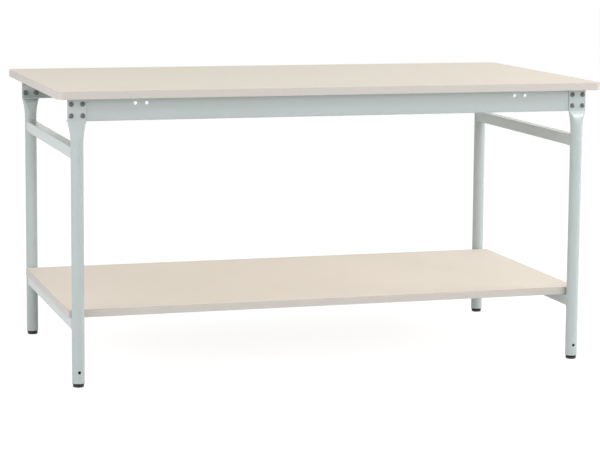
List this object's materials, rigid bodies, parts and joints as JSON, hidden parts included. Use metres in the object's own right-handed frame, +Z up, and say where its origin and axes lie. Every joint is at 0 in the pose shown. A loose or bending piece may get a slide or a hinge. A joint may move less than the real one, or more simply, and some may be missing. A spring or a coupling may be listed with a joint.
{
  "type": "assembly table",
  "caption": "Rectangular assembly table: laminate worktop and lower shelf on a bolted steel frame of round legs with flattened tops, channel rails, crossbars and levelling glides.",
  "frame": {"origin": "on the floor, under the middle of the worktop", "axes": "+X right along the worktop's length, +Y to the back, +Z up"},
  "size_m": [1.5, 0.8, 0.77],
  "materials": {
    "laminate": "light beige melamine-faced board, satin",
    "edging": "beige plastic edge band, satin",
    "frame_paint": "light grey powder coat, satin",
    "black_plastic": "black moulded plastic",
    "dark_steel": "black zinc-plated steel",
    "zinc_steel": "bright zinc-plated steel"
  },
  "bodies": {
    "table": {"top_board": "laminate", "top_edge_band": "edging", "shelf_board": "laminate", "shelf_edge_band": "edging", "rail_front": "frame_paint", "top_screw_front_1": "zinc_steel", "top_screw_front_2": "zinc_steel", "top_screw_front_3": "zinc_steel", "rail_rear": "frame_paint", "top_screw_rear_1": "zinc_steel", "top_screw_rear_2": "zinc_steel", "top_screw_rear_3": "zinc_steel", "crossbar_left": "frame_paint", "bearer_left": "frame_paint", "crossbar_right": "frame_paint", "bearer_right": "frame_paint", "leg_front_left": "frame_paint", "plug_front_left": "black_plastic", "bolt_front_left_1": "dark_steel", "nut_front_left_1": "dark_steel", "bolt_front_left_2": "dark_steel", "nut_front_left_2": "dark_steel", "bolt_front_left_3": "dark_steel", "nut_front_left_3": "dark_steel", "bolt_front_left_4": "dark_steel", "nut_front_left_4": "dark_steel", "leg_front_right": "frame_paint", "plug_front_right": "black_plastic", "bolt_front_right_1": "dark_steel", "nut_front_right_1": "dark_steel", "bolt_front_right_2": "dark_steel", "nut_front_right_2": "dark_steel", "bolt_front_right_3": "dark_steel", "nut_front_right_3": "dark_steel", "bolt_front_right_4": "dark_steel", "nut_front_right_4": "dark_steel", "leg_rear_left": "frame_paint", "plug_rear_left": "black_plastic", "bolt_rear_left_1": "dark_steel", "nut_rear_left_1": "dark_steel", "bolt_rear_left_2": "dark_steel", "nut_rear_left_2": "dark_steel", "bolt_rear_left_3": "dark_steel", "nut_rear_left_3": "dark_steel", "bolt_rear_left_4": "dark_steel", "nut_rear_left_4": "dark_steel", "leg_rear_right": "frame_paint", "plug_rear_right": "black_plastic", "bolt_rear_right_1": "dark_steel", "nut_rear_right_1": "dark_steel", "bolt_rear_right_2": "dark_steel", "nut_rear_right_2": "dark_steel", "bolt_rear_right_3": "dark_steel", "nut_rear_right_3": "dark_steel", "bolt_rear_right_4": "dark_steel", "nut_rear_right_4": "dark_steel"},
    "glide_front_left": {"glide_front_left": "black_plastic"},
    "glide_front_right": {"glide_front_right": "black_plastic"},
    "glide_rear_left": {"glide_rear_left": "black_plastic"},
    "glide_rear_right": {"glide_rear_right": "black_plastic"}
  },
  "joints": [
    {"name": "level_front_left", "type": "slide", "parent": "table", "child": "glide_front_left", "axis": [0, 0, -1], "range_m": [0, 0.015]},
    {"name": "level_front_right", "type": "slide", "parent": "table", "child": "glide_front_right", "axis": [0, 0, -1], "range_m": [0, 0.015]},
    {"name": "level_rear_left", "type": "slide", "parent": "table", "child": "glide_rear_left", "axis": [0, 0, -1], "range_m": [0, 0.015]},
    {"name": "level_rear_right", "type": "slide", "parent": "table", "child": "glide_rear_right", "axis": [0, 0, -1], "range_m": [0, 0.015]}
  ]
}
